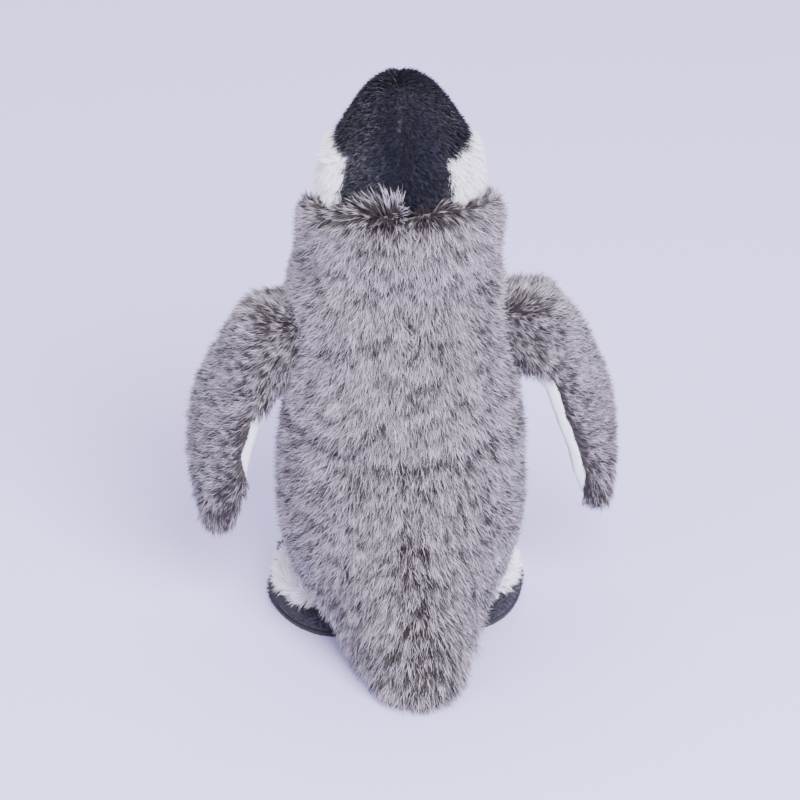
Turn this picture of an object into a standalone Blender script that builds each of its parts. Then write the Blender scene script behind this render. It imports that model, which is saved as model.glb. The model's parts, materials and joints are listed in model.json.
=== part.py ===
"""Plush emperor penguin chick, standing on two flat feet and its tail.

Metres, +Z up. The chick faces -Y and its own left is +X. The origin is on the floor, at the
middle of the object's outline seen from above.
"""

import math

import bmesh
import bpy
from mathutils import Matrix, Vector

# Driving dimensions
AXIS_X, AXIS_Y = 0.0028, -0.0096  # the trunk's upright axis, which the head also turns about
SKIN = 0.0038  # long pile fabric with its pile pressed flat
HEAD_SKIN = 0.0030  # short pile fabric of the head
CLEAR = 0.0005  # between a skin and the filling under it
FILLING_CLEAR = 0.0014  # the same where the trunk's form bends inwards at the tail
SEAM = 0.0003  # half the gap between two panels that are sewn together

NECK_RADIUS = 0.0290  # the head's round base
NECK_FLOOR_Z = 0.172  # where the head's filling rests on the trunk's
NECKLINE_BACK_Z = 0.203  # the nape, where the grey collar stands highest
NECKLINE_SLOPE = 0.36  # how fast the collar drops towards the throat
WAIST_BACK_Z = 0.093  # seam between the upper and the lower back
WAIST_SLOPE = 0.30  # and how fast it rises towards the front
TRUNK_BACK_Y = 0.048  # the middle of the back behind the axis, where both are measured
BASE_TOP_Z = 0.0230  # the seam around the flat underside of the trunk
TAIL_UNDER_Z = 0.0062  # the seam around the tail's underside
SIDE_SEAM = [(0.030, 0.006), (-0.001, 0.027), (-0.014, 0.060), (-0.018, 0.30)]  # (back, up), grey from white
FAR = 0.2  # past the whole object, for the cutters

BAG_CENTRE = Vector((0, 0.004, 0.0365))
BAG_SIZE = Vector((0.031, 0.029, 0.0135))  # half of it each way
BAG_OPENING = 0.020  # radius of the way in from the trunk's underside

HEAD_YAW = math.radians(-10)  # the head looks a little to the chick's right
CHEEK_TOP_Z = 0.212
CHEEK_BACK_ANGLE = math.radians(49)  # from the nape round to the white cheek
EYE_Z = 0.2055
EYE_ANGLE = math.radians(40)  # from straight ahead
EYE_RADIUS = 0.0046
EYE_REACH = 0.0322  # from the head's axis to where its rim sits
EYE_SEAT = -0.0006  # the rim's underside, along the eye's own axis as all below
EYE_RIM = 0.0004
EYE_DOME = 0.0031
SHANK_RADIUS = 0.0016
SHANK_END = -0.0125
SHANK_ROOM = 0.0021  # radius of the way through the filling
WASHER_RADII = (0.0019, 0.0052)
WASHER_FACES = (-0.0056, -0.0070)

WING_HINGE = Vector((0.0466, 0.0020, 0.140))  # the left shoulder seam
WING_REST = {"left": math.radians(0), "right": math.radians(4.5)}  # outwards from the pattern

FOOT_CENTRE = Vector((0.0305, -0.0220, 0))
FOOT_HALF_WIDTH = 0.0210
FOOT_HALF_LENGTH = 0.0390
FOOT_TURN_OUT = math.radians(6)
FOOT_POINTS = 54  # around one foot's outline
TOE_DEPTH = 0.06  # of the foot's radius
TOE_COUNT = 9  # as many scallops as would fit all the way round
TOE_SPREAD = math.radians(60)  # the scallops' share of it, each way from straight ahead
FOOT_HEIGHT = 0.0085
FOOT_WALL = 0.0020  # thickness of its cloth
FOOT_ROUND = 0.0022  # radius of its top edge
SOLE = 0.0015

LEG_TOP_Z = 0.0144  # just under the flat underside of the trunk
LEG_SIZE = (0.0165, 0.0230)  # half width and half length
LEG_BACK = 0.0060  # how far the leg stands behind the foot's middle

# (height, half width, front, back, tail reach, tail drop), each from the trunk's axis
TRUNK_RINGS = [
    (0.0150, 0.034, 0.029, 0.042, 0.050, 0.0),
    (0.0200, 0.0435, 0.039, 0.045, 0.090, 0.0300),
    (0.0340, 0.0480, 0.046, 0.047, 0.086, 0.0165),
    (0.0540, 0.0495, 0.049, 0.048, 0.064, 0.0),
    (0.0780, 0.0495, 0.050, 0.047, 0.0, 0.0),
    (0.1030, 0.0480, 0.048, 0.045, 0.0, 0.0),
    (0.1280, 0.0445, 0.043, 0.042, 0.0, 0.0),
    (0.1520, 0.0405, 0.038, 0.039, 0.0, 0.0),
    (0.1760, 0.0368, 0.035, 0.0365, 0.0, 0.0),
    (0.1960, 0.0350, 0.034, 0.0350, 0.0, 0.0),
    (0.2120, 0.0345, 0.034, 0.0345, 0.0, 0.0),
]
TAIL_SHAPE = {0: 1.0, 14: 0.82, 32: 0.52}  # reach by angle from straight back
TRUNK_ANGLES = [0, 14, 32, 55, 80, 105, 130, 155, 180]  # the other side mirrors these

# (height, half width, front, back), each from the head's axis
HEAD_RINGS = [
    (0.1660, NECK_RADIUS, NECK_RADIUS, NECK_RADIUS),
    (0.1840, NECK_RADIUS, NECK_RADIUS, NECK_RADIUS),
    (0.1980, 0.0315, 0.0325, 0.0300),
    (0.2110, 0.0298, 0.0330, 0.0300),
    (0.2225, 0.0248, 0.0290, 0.0262),
    (0.2330, 0.0180, 0.0205, 0.0195),
    (0.2420, 0.0085, 0.0095, 0.0095),
]
HEAD_ANGLES = [0, 30, 60, 90, 120, 150, 180]

# (forward, parting height, half width, height), the first following the face
BEAK_UPPER = [
    (0, 0.2035, 0.0090, 0.0072),
    (0.0370, 0.2032, 0.0078, 0.0064),
    (0.0420, 0.2022, 0.0056, 0.0050),
    (0.0465, 0.2005, 0.0034, 0.0036),
    (0.0500, 0.1985, 0.0012, 0.0020),
]
BEAK_LOWER = [
    (0, 0.2035, 0.0078, 0.0046),
    (0.0365, 0.2032, 0.0066, 0.0040),
    (0.0410, 0.2024, 0.0044, 0.0030),
    (0.0450, 0.2010, 0.0014, 0.0016),
]
BEAK_COLUMNS = 12
HEAD_FRONT = 0.0332  # the face's radius around the beak's root

# (outwards, upwards, backwards, half chord, chord's turn in degrees) from the shoulder seam,
# down the middle of the wing
WING_STATIONS = [
    (0.0000, 0.0000, 0.0000, 0.0105, 6),
    (0.0054, -0.0110, -0.0010, 0.0130, 16),
    (0.0108, -0.0240, -0.0035, 0.0155, 23),
    (0.0152, -0.0385, -0.0065, 0.0175, 27),
    (0.0190, -0.0540, -0.0085, 0.0180, 28),
    (0.0216, -0.0700, -0.0095, 0.0164, 27),
    (0.0224, -0.0860, -0.0095, 0.0128, 26),
    (0.0220, -0.0985, -0.0090, 0.0060, 26),
]
WING_GRID = (12, 6)  # faces along and across a wing
WING_CROWN = 0.0020  # how far the wing's edges curl in towards the body
WING_TIP_ROUND = 0.0060  # how much higher the tip's corners end than its middle
WING_LAYERS = {  # middle of the layer and its thickness, from the wing's middle surface
    "outer": (0.0053, 0.0034),
    "padding": (0.0008, 0.0032),
    "inner": (-0.0026, 0.0016),
}


def ring_shrink(count):
    """How far a ring of this many points draws in when its cage is subdivided."""
    return 0.75 + 0.25 * math.cos(2 * math.pi / count)


def clear_scene():
    for obj in list(bpy.data.objects):
        bpy.data.objects.remove(obj, do_unlink=True)


def new_collection(name):
    made = bpy.data.collections.new(name)
    bpy.context.scene.collection.children.link(made)
    return made


def new_material(name, colour, roughness):
    made = bpy.data.materials.new(name)
    made.use_nodes = True
    shader = made.node_tree.nodes["Principled BSDF"]
    shader.inputs["Base Color"].default_value = (*colour, 1)
    shader.inputs["Roughness"].default_value = roughness
    shader.inputs["Metallic"].default_value = 0
    return made


def new_object(name, mesh, collection, parent=None):
    obj = bpy.data.objects.new(name, mesh)
    collection.objects.link(obj)
    obj.parent = parent or TRUNK_AXIS
    return obj


def new_empty(name, location, rotation=(0, 0, 0), parent=None):
    empty = bpy.data.objects.new(name, None)
    empty.location = location
    empty.rotation_euler = rotation
    empty.parent = parent
    PARTS.objects.link(empty)
    return empty


def hide_helper(obj):
    obj.hide_render = True
    obj.display_type = "WIRE"
    return obj


def shade_round(mesh, angle=40):
    mesh.shade_smooth()
    mesh.set_sharp_from_angle(angle=math.radians(angle))


def mesh_from_bmesh(name, bm):
    bmesh.ops.recalc_face_normals(bm, faces=bm.faces)
    mesh = bpy.data.meshes.new(name)
    bm.to_mesh(mesh)
    bm.free()
    return mesh


def cage_mesh(name, rings):
    """A closed cage through these rings of points, with a flat cap at each end."""
    bm = bmesh.new()
    rows = [[bm.verts.new(point) for point in ring] for ring in rings]
    count = len(rows[0])
    for low, high in zip(rows, rows[1:]):
        for i in range(count):
            j = (i + 1) % count
            bm.faces.new((low[i], low[j], high[j], high[i]))
    bm.faces.new(rows[0])
    bm.faces.new(rows[-1])
    return mesh_from_bmesh(name, bm)


def ring_points(angles, place):
    """Points all the way round, from a rule for the angles of the left half."""
    left = [place(math.radians(a), 1) for a in angles]
    right = [place(math.radians(a), -1) for a in reversed(angles) if 0 < a < 180]
    return left + right


def trunk_ring(height, half_width, front, back, tail_reach, tail_drop):
    shrink = ring_shrink(2 * len(TRUNK_ANGLES) - 2)

    def place(angle, side):
        depth = back if math.cos(angle) > 0 else front
        x = half_width * math.sin(angle)
        y = depth * math.cos(angle)
        reach = tail_reach * TAIL_SHAPE.get(round(math.degrees(angle)), 0)
        z = height
        if reach > math.hypot(x, y):
            x = reach * math.sin(angle)
            y = reach * math.cos(angle)
            z -= tail_drop
        return Vector((side * x / shrink, y / shrink, z))

    return ring_points(TRUNK_ANGLES, place)


def head_ring(height, half_width, front, back):
    shrink = ring_shrink(2 * len(HEAD_ANGLES) - 2)

    def place(angle, side):
        depth = back if math.cos(angle) > 0 else front
        x = half_width * math.sin(angle) / shrink
        y = depth * math.cos(angle) / shrink
        return Vector((side * x, y, height - NECK_FLOOR_Z))

    return ring_points(HEAD_ANGLES, place)


def add_subdivision(obj, levels):
    modifier = obj.modifiers.new("Subdivision", "SUBSURF")
    modifier.levels = levels
    modifier.render_levels = levels


def soft_form(name, mesh, offset, parent=None, levels=1):
    """A subdivided cage, moved in along its normals by offset, as a helper for Booleans."""
    obj = new_object(name, mesh, CUTTERS, parent)
    add_subdivision(obj, levels)
    if offset:
        modifier = obj.modifiers.new("Inset", "DISPLACE")
        modifier.strength = -offset
        modifier.mid_level = 0
    return hide_helper(obj)


def evaluated_copy(name, source):
    """A mesh of the object with its modifiers applied, in its own space."""
    bpy.context.view_layer.update()
    graph = bpy.context.evaluated_depsgraph_get()
    mesh = bpy.data.meshes.new_from_object(source.evaluated_get(graph))
    mesh.name = name
    return mesh


def add_boolean(obj, cutter, operation):
    modifier = obj.modifiers.new(cutter.name, "BOOLEAN")
    modifier.operation = operation
    modifier.solver = "EXACT"
    modifier.use_hole_tolerant = True
    modifier.object = cutter


def cut_form(name, form, drop):
    """A helper that is a soft form less the drop cutters."""
    obj = new_object(name, evaluated_copy(name, form), CUTTERS, form.parent)
    for cutter in drop:
        add_boolean(obj, cutter, "DIFFERENCE")
    return hide_helper(obj)


def panel(name, form, material, keep=(), drop=()):
    """The part of a soft form inside every keep cutter and outside every drop cutter."""
    obj = new_object(name, evaluated_copy(name, form), PARTS, form.parent)
    for cutter in keep:
        add_boolean(obj, cutter, "INTERSECT")
    for cutter in drop:
        add_boolean(obj, cutter, "DIFFERENCE")
    shade_round(obj.data)
    obj.data.materials.append(material)
    return obj


def box(name, low, high, parent=None):
    bm = bmesh.new()
    bmesh.ops.create_cube(bm, size=1)
    size = Vector(high) - Vector(low)
    middle = (Vector(high) + Vector(low)) / 2
    bmesh.ops.transform(bm, matrix=Matrix.Translation(middle) @ Matrix.Diagonal((*size, 1)), verts=bm.verts)
    return hide_helper(new_object(name, mesh_from_bmesh(name, bm), CUTTERS, parent))


def prism(name, outline, start, end, along="X", parent=None):
    """A flat outline pushed from start to end along X (points are Y, Z) or Z (points are X, Y)."""
    bm = bmesh.new()

    def at(point, depth):
        return (depth, *point) if along == "X" else (*point, depth)

    low = [bm.verts.new(at(p, start)) for p in outline]
    high = [bm.verts.new(at(p, end)) for p in outline]
    for i in range(len(outline)):
        j = (i + 1) % len(outline)
        bm.faces.new((low[i], low[j], high[j], high[i]))
    bm.faces.new(low)
    bm.faces.new(high)
    return hide_helper(new_object(name, mesh_from_bmesh(name, bm), CUTTERS, parent))


def cylinder(name, radius, low, high, centre, parent=None, sides=48):
    bm = bmesh.new()
    bmesh.ops.create_cone(
        bm, cap_ends=True, segments=sides, radius1=radius, radius2=radius, depth=high - low
    )
    middle = Vector((centre[0], centre[1], (low + high) / 2))
    bmesh.ops.translate(bm, vec=middle, verts=bm.verts)
    return hide_helper(new_object(name, mesh_from_bmesh(name, bm), CUTTERS, parent))


def turned(name, profile, collection, parent, steps=16):
    """A profile of (radius, height) points from top to bottom, turned about Z."""
    mesh = bpy.data.meshes.new(name)
    points = [(radius, 0, height) for radius, height in profile]
    mesh.from_pydata(points, [(i, i + 1) for i in range(len(points) - 1)], [])
    obj = new_object(name, mesh, collection, parent)
    screw = obj.modifiers.new("Turn", "SCREW")
    screw.steps = steps
    screw.render_steps = steps
    screw.use_merge_vertices = True
    screw.merge_threshold = 0.00001
    return obj


# The trunk


def sloping_cut(name, height, slope, above):
    """Everything above, or below, a plane that is this high at the middle of the back."""
    back = TRUNK_BACK_Y + FAR
    front = TRUNK_BACK_Y - FAR
    end = FAR * 2 if above else -FAR * 2
    outline = [
        (back, height + slope * (TRUNK_BACK_Y - back)),
        (front, height + slope * (TRUNK_BACK_Y - front)),
        (front, height + end),
        (back, height + end),
    ]
    return prism(name, outline, -FAR, FAR)


def back_cutter(name, forward):
    """The grey back: everything behind the side seams, which run in to the tail's root."""
    seam = [(y - forward, z) for y, z in SIDE_SEAM]
    top, root = seam[-1][1], seam[0][0]
    outline = [(FAR, top), (FAR, -FAR), (root, -FAR), *seam]
    return prism(name, outline, -FAR, FAR)


def build_trunk():
    cage = cage_mesh("trunk_cage", [trunk_ring(*ring) for ring in TRUNK_RINGS])
    outer = soft_form("trunk_outer", cage, 0)
    inner = soft_form("trunk_inner", cage, SKIN)
    core = soft_form("trunk_core", cage, SKIN + FILLING_CLEAR)

    above_neck = box("above_neck", (-FAR, -FAR, NECK_FLOOR_Z - CLEAR), (FAR, FAR, 2 * FAR))
    collar_top = sloping_cut("above_neckline", NECKLINE_BACK_Z, -NECKLINE_SLOPE, True)
    above_waist = sloping_cut("above_waist", WAIST_BACK_Z + SEAM, WAIST_SLOPE, True)
    below_waist = sloping_cut("below_waist", WAIST_BACK_Z - SEAM, WAIST_SLOPE, False)
    halves = {
        "left": box("left_half", (SEAM, -FAR, -FAR), (FAR, FAR, 2 * FAR)),
        "right": box("right_half", (-FAR, -FAR, -FAR), (-SEAM, FAR, 2 * FAR)),
    }
    back = back_cutter("back_region", -SEAM)
    back_and_seam = back_cutter("back_region_and_seam", SEAM)
    floor = box("floor", (-FAR, -FAR, -FAR), (FAR, FAR, 0))
    tail_under = box("tail_under", (-FAR, 0, -FAR), (FAR, FAR, TAIL_UNDER_Z))
    tail_over = box("tail_over", (-FAR, 0, TAIL_UNDER_Z + 2 * SEAM), (FAR, FAR, 2 * FAR))
    base = box("base_region", (-FAR, -FAR, -FAR), (FAR, FAR, BASE_TOP_Z))
    base_and_seam = box("base_region_and_seam", (-FAR, -FAR, -FAR), (FAR, FAR, BASE_TOP_Z + 2 * SEAM))

    shell = cut_form("trunk_shell", outer, [inner, collar_top, floor])
    for side, half in halves.items():
        panel(f"upper_back_{side}", shell, GREY, [back, above_waist, half])
        panel(f"lower_back_{side}", shell, GREY, [back, below_waist, half, tail_over])
    panel("tail_underside", shell, GREY, [back, tail_under])
    panel("belly_panel", shell, WHITE, [], [back_and_seam, base_and_seam])
    panel("base_panel", shell, WHITE, [base], [back_and_seam])

    pellet_bag("pellet_bag", 0, PARTS).data.materials.append(CANVAS)
    bag_room = hide_helper(pellet_bag("pellet_bag_room", CLEAR, CUTTERS))
    under_bag = cylinder("under_bag", BAG_OPENING, -FAR, BAG_CENTRE.z, BAG_CENTRE)
    panel("body_stuffing", core, FIBRE, [], [above_neck, bag_room, under_bag])


def pellet_bag(name, grow, collection):
    bm = bmesh.new()
    bmesh.ops.create_uvsphere(bm, u_segments=20, v_segments=12, radius=1)
    size = Matrix.Diagonal([half + grow for half in BAG_SIZE] + [1])
    bmesh.ops.transform(bm, matrix=Matrix.Translation(BAG_CENTRE) @ size, verts=bm.verts)
    return new_object(name, mesh_from_bmesh(name, bm), collection)


# The head


def cheek_cutter(name, grow, parent):
    """The white face: in front of the nape's black stripe and below the black cap."""
    back_x = FAR * math.sin(CHEEK_BACK_ANGLE) - grow * math.cos(CHEEK_BACK_ANGLE)
    back_y = FAR * math.cos(CHEEK_BACK_ANGLE) + grow * math.sin(CHEEK_BACK_ANGLE)
    outline = [
        (0, grow / math.sin(CHEEK_BACK_ANGLE)),
        (-back_x, back_y),
        (-FAR, back_y),
        (-FAR, -FAR),
        (FAR, -FAR),
        (FAR, back_y),
        (back_x, back_y),
    ]
    top = CHEEK_TOP_Z - NECK_FLOOR_Z + grow
    return prism(name, outline, -FAR, top, "Z", parent)


def stepped_hole(radius, step, end):
    """Profile of a wide hole down to the step, and one for an eye's shank from there to the end."""
    top = EYE_REACH
    return [(0, top), (radius, top), (radius, step), (SHANK_ROOM, step), (SHANK_ROOM, end), (0, end)]


def build_eye(side, sign, parent, room, pocket):
    """A domed eye on a shank, held inside the head by a press-on washer."""
    direction = Vector((sign * math.sin(EYE_ANGLE), -math.cos(EYE_ANGLE), 0))
    place = direction * EYE_REACH + Vector((0, 0, EYE_Z - NECK_FLOOR_Z))
    facing = direction.to_track_quat("Z", "Y").to_euler()
    frame = new_empty(f"eye_{side}_seat", place, facing, parent)
    dome = [
        (EYE_RADIUS * math.sin(t), EYE_SEAT + EYE_RIM + EYE_DOME * math.cos(t))
        for t in (math.pi / 2 * i / 5 for i in range(6))
    ]
    rim = [(EYE_RADIUS, EYE_SEAT), (SHANK_RADIUS, EYE_SEAT), (SHANK_RADIUS, SHANK_END), (0, SHANK_END)]
    eye = turned(f"eye_{side}", [*dome, *rim], PARTS, frame)
    shade_round(eye.data)
    eye.data.materials.append(EYE_BLACK)

    (inside, outside), (front, rear) = WASHER_RADII, WASHER_FACES
    section = [(inside, front), (outside, front), (outside, rear), (inside, rear), (inside, front)]
    washer = turned(f"eye_washer_{side}", section, PARTS, frame)
    washer.data.materials.append(WASHER_WHITE)

    through_skin = stepped_hole(EYE_RADIUS + CLEAR, EYE_SEAT - CLEAR, -EYE_REACH)
    through_filling = stepped_hole(outside + CLEAR, rear - CLEAR, SHANK_END - CLEAR)
    hole = turned(f"{room}_{side}", through_skin, CUTTERS, frame)
    well = turned(f"{pocket}_{side}", through_filling, CUTTERS, frame)
    return hide_helper(hole), hide_helper(well)


def beak_half(name, sections, up, parent, material):
    """Half a beak, flat along the parting, through (forward, parting, half width, height) sections."""
    bm = bmesh.new()
    rows = []
    for number, (forward, parting, half_width, height) in enumerate(sections):
        arc, flat = [], []
        for i in range(BEAK_COLUMNS + 1):
            turn = math.pi * i / BEAK_COLUMNS
            x = half_width * math.cos(turn)
            reach = forward if number else math.sqrt(HEAD_FRONT**2 - x**2) + CLEAR
            z = parting + up * CLEAR / 2 - NECK_FLOOR_Z
            flat.append(bm.verts.new((x, -reach, z)))
            edge = i in (0, BEAK_COLUMNS)
            arc.append(flat[-1] if edge else bm.verts.new((x, -reach, z + up * height * math.sin(turn))))
        rows.append((arc, flat))
    for (arc, flat), (next_arc, next_flat) in zip(rows, rows[1:]):
        for i in range(BEAK_COLUMNS):
            bm.faces.new((arc[i], arc[i + 1], next_arc[i + 1], next_arc[i]))
            bm.faces.new((flat[i], next_flat[i], next_flat[i + 1], flat[i + 1]))
    for arc, flat in (rows[0], rows[-1]):
        for i in range(BEAK_COLUMNS):
            corners = dict.fromkeys((arc[i], arc[i + 1], flat[i + 1], flat[i]))
            bm.faces.new(list(corners))
    obj = new_object(name, mesh_from_bmesh(name, bm), PARTS, parent)
    shade_round(obj.data)
    obj.data.materials.append(material)


def build_head():
    pivot = new_empty("head_pivot", (0, 0, NECK_FLOOR_Z), (0, 0, HEAD_YAW), TRUNK_AXIS)
    cage = cage_mesh("head_cage", [head_ring(*ring) for ring in HEAD_RINGS])
    outer = soft_form("head_outer", cage, 0, pivot)
    inner = soft_form("head_inner", cage, HEAD_SKIN, pivot)
    core = soft_form("head_core", cage, HEAD_SKIN + FILLING_CLEAR, pivot)

    below = box("below_head", (-FAR, -FAR, -FAR), (FAR, FAR, 0), pivot)
    halves = {
        "left": box("head_left_half", (SEAM, -FAR, -FAR), (FAR, FAR, FAR), pivot),
        "right": box("head_right_half", (-FAR, -FAR, -FAR), (-SEAM, FAR, FAR), pivot),
    }
    cheeks = cheek_cutter("cheek_region", -SEAM, pivot)
    cheeks_and_seam = cheek_cutter("cheek_region_and_seam", SEAM, pivot)
    shell = cut_form("head_shell", outer, [inner, below])
    wells = []
    for side, sign in (("left", 1), ("right", -1)):
        hole, well = build_eye(side, sign, pivot, "eye_hole", "eye_well")
        wells.append(well)
        panel(f"head_cap_{side}", shell, BLACK, [halves[side]], [cheeks_and_seam])
        panel(f"cheek_{side}", shell, WHITE_SHORT, [halves[side], cheeks], [hole])
    panel("head_stuffing", core, FIBRE, [], [*wells, below])

    beak_half("beak_upper", BEAK_UPPER, 1, pivot, BLACK)
    beak_half("beak_lower", BEAK_LOWER, -1, pivot, BLACK)


# The wings


def wing_station(share):
    """The station values at a share of the way from the shoulder to the tip, on a smooth curve."""
    last = len(WING_STATIONS) - 1
    low = min(int(share * last), last - 1)
    t = share * last - low
    rows = [WING_STATIONS[min(max(low + i, 0), last)] for i in (-1, 0, 1, 2)]
    weights = (
        (-t + 2 * t**2 - t**3) / 2,
        (2 - 5 * t**2 + 3 * t**3) / 2,
        (t + 4 * t**2 - 3 * t**3) / 2,
        (t**3 - t**2) / 2,
    )
    return [sum(w * value for w, value in zip(weights, column)) for column in zip(*rows)]


def wing_point(share, across, lift, sign):
    """A point of the wing: share along it, across its chord (-1 rear, 1 front), lift outwards."""
    out, up, back, half_chord, turn = wing_station(share)
    ahead = wing_station(min(share + 0.05, 1))
    behind = wing_station(max(share - 0.05, 0))
    along = Vector([ahead[0] - behind[0], ahead[2] - behind[2], ahead[1] - behind[1]])
    chord = Vector((math.sin(math.radians(turn)), -math.cos(math.radians(turn)), 0))
    outwards = chord.cross(along).normalized()
    if outwards.x < 0:
        outwards = -outwards
    crown = WING_CROWN * abs(across) ** 3
    middle = Vector((out, back, up + WING_TIP_ROUND * across * across * share))
    point = middle + chord * (half_chord * across) + outwards * (lift - crown)
    return Vector((sign * point.x, point.y, point.z))


def build_wing(side, sign):
    hinge = Vector((sign * WING_HINGE.x, WING_HINGE.y, WING_HINGE.z))
    pivot = new_empty(f"wing_{side}_pivot", hinge, (0, -sign * WING_REST[side], 0), TRUNK_AXIS)
    materials = {"outer": GREY, "padding": FIBRE, "inner": SATIN}
    for layer, (middle, thickness) in WING_LAYERS.items():
        inset = 1 if layer == "padding" else 0
        along, across = WING_GRID[0] - 2 * inset, WING_GRID[1] - 2 * inset
        bm = bmesh.new()
        bmesh.ops.create_grid(bm, x_segments=along, y_segments=across, size=1)
        for vert in bm.verts:
            share = 0.5 + vert.co.x / 2 * along / WING_GRID[0]
            vert.co = wing_point(share, vert.co.y * across / WING_GRID[1], middle, sign)
        name = f"wing_{side}_{layer}"
        plate = new_object(name, mesh_from_bmesh(name, bm), PARTS, pivot)
        solidify = plate.modifiers.new("Thickness", "SOLIDIFY")
        solidify.thickness = thickness
        solidify.offset = 0
        shade_round(plate.data)
        plate.data.materials.append(materials[layer])


# The feet and legs


def foot_outline(inset, sign):
    """The foot seen from above: a round heel and three toes."""
    points = []
    for i in range(FOOT_POINTS):
        turn = 2 * math.pi * i / FOOT_POINTS
        from_toe = abs(turn - math.pi)
        toes = TOE_DEPTH * math.cos(TOE_COUNT * from_toe) if from_toe < TOE_SPREAD else 0
        x = (FOOT_HALF_WIDTH - inset) * math.sin(turn) * (1 + toes)
        y = (FOOT_HALF_LENGTH - inset) * math.cos(turn) * (1 + toes)
        out = FOOT_TURN_OUT
        turned_x = x * math.cos(out) - y * math.sin(out)
        turned_y = x * math.sin(out) + y * math.cos(out)
        points.append((sign * (FOOT_CENTRE.x + turned_x), FOOT_CENTRE.y + turned_y))
    return points


def foot_slab(name, inset, low, high, sign, collection, round_top=0):
    bm = bmesh.new()
    outline = foot_outline(inset, sign)
    bottom = bm.faces.new([bm.verts.new((x, y, low)) for x, y in outline])
    pushed = bmesh.ops.extrude_face_region(bm, geom=[bottom])
    top = [v for v in pushed["geom"] if isinstance(v, bmesh.types.BMVert)]
    bmesh.ops.translate(bm, vec=(0, 0, high - low), verts=top)
    if round_top:
        edges = [e for e in bm.edges if all(v.co.z > high - 1e-5 for v in e.verts)]
        bmesh.ops.bevel(bm, geom=edges, offset=round_top, segments=2, profile=0.5, affect="EDGES")
    return new_object(name, mesh_from_bmesh(name, bm), collection)


def build_foot(side, sign):
    wall = FOOT_WALL
    seam_z = SOLE + 2 * SEAM
    sole = foot_slab(f"foot_{side}_sole", 0, 0, SOLE, sign, PARTS)
    sole.data.materials.append(SOLE_BLACK)
    upper = foot_slab(f"foot_{side}_upper", 0, seam_z, FOOT_HEIGHT, sign, PARTS, FOOT_ROUND)
    upper.data.materials.append(BLACK)
    pocket = foot_slab(f"foot_{side}_pocket", wall, -FOOT_HEIGHT, FOOT_HEIGHT - wall, sign, CUTTERS)
    add_boolean(upper, hide_helper(pocket), "DIFFERENCE")
    pad = foot_slab(f"foot_{side}_pad", wall + CLEAR, seam_z, FOOT_HEIGHT - wall - CLEAR, sign, PARTS)
    pad.data.materials.append(FIBRE)


def build_leg(side, sign):
    """A short furred leg between the foot and the trunk's base."""
    low = FOOT_HEIGHT + CLEAR
    height = LEG_TOP_Z - low
    bm = bmesh.new()
    bmesh.ops.create_cone(bm, cap_ends=True, segments=32, radius1=1, radius2=1, depth=height)
    middle = Vector((sign * FOOT_CENTRE.x, FOOT_CENTRE.y + LEG_BACK, low + height / 2))
    shape = Matrix.Translation(middle) @ Matrix.Diagonal((*LEG_SIZE, 1, 1))
    bmesh.ops.transform(bm, matrix=shape, verts=bm.verts)
    rims = [e for e in bm.edges if abs(e.verts[0].co.z - e.verts[1].co.z) < height / 2]
    bmesh.ops.bevel(bm, geom=rims, offset=height / 4, segments=2, profile=0.5, affect="EDGES")
    leg = new_object(f"leg_{side}", mesh_from_bmesh(f"leg_{side}", bm), PARTS)
    shade_round(leg.data)
    leg.data.materials.append(WHITE)


clear_scene()
PARTS = new_collection("plush_penguin_chick")
CUTTERS = new_collection("cutters")
TRUNK_AXIS = new_empty("trunk_axis", (AXIS_X, AXIS_Y, 0))
GREY = new_material("grey_long_pile", (0.40, 0.37, 0.42), 0.9)
WHITE = new_material("white_long_pile", (0.82, 0.80, 0.80), 0.9)
WHITE_SHORT = new_material("white_short_pile", (0.84, 0.83, 0.86), 0.9)
BLACK = new_material("black_short_pile", (0.020, 0.021, 0.035), 0.85)
SOLE_BLACK = new_material("black_sole_cloth", (0.015, 0.015, 0.022), 0.9)
SATIN = new_material("pale_wing_lining", (0.62, 0.62, 0.70), 0.6)
FIBRE = new_material("polyester_filling", (0.90, 0.90, 0.90), 0.95)
CANVAS = new_material("pellet_bag_cloth", (0.70, 0.68, 0.62), 0.9)
EYE_BLACK = new_material("eye_plastic", (0.010, 0.009, 0.009), 0.12)
WASHER_WHITE = new_material("washer_plastic", (0.80, 0.80, 0.78), 0.4)

build_trunk()
build_head()
for side, sign in (("left", 1), ("right", -1)):
    build_wing(side, sign)
    build_foot(side, sign)
    build_leg(side, sign)
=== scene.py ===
import json
import math

import bmesh
import bpy
import numpy as np
from mathutils import Matrix, Vector, noise
from mathutils.bvhtree import BVHTree


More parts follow.
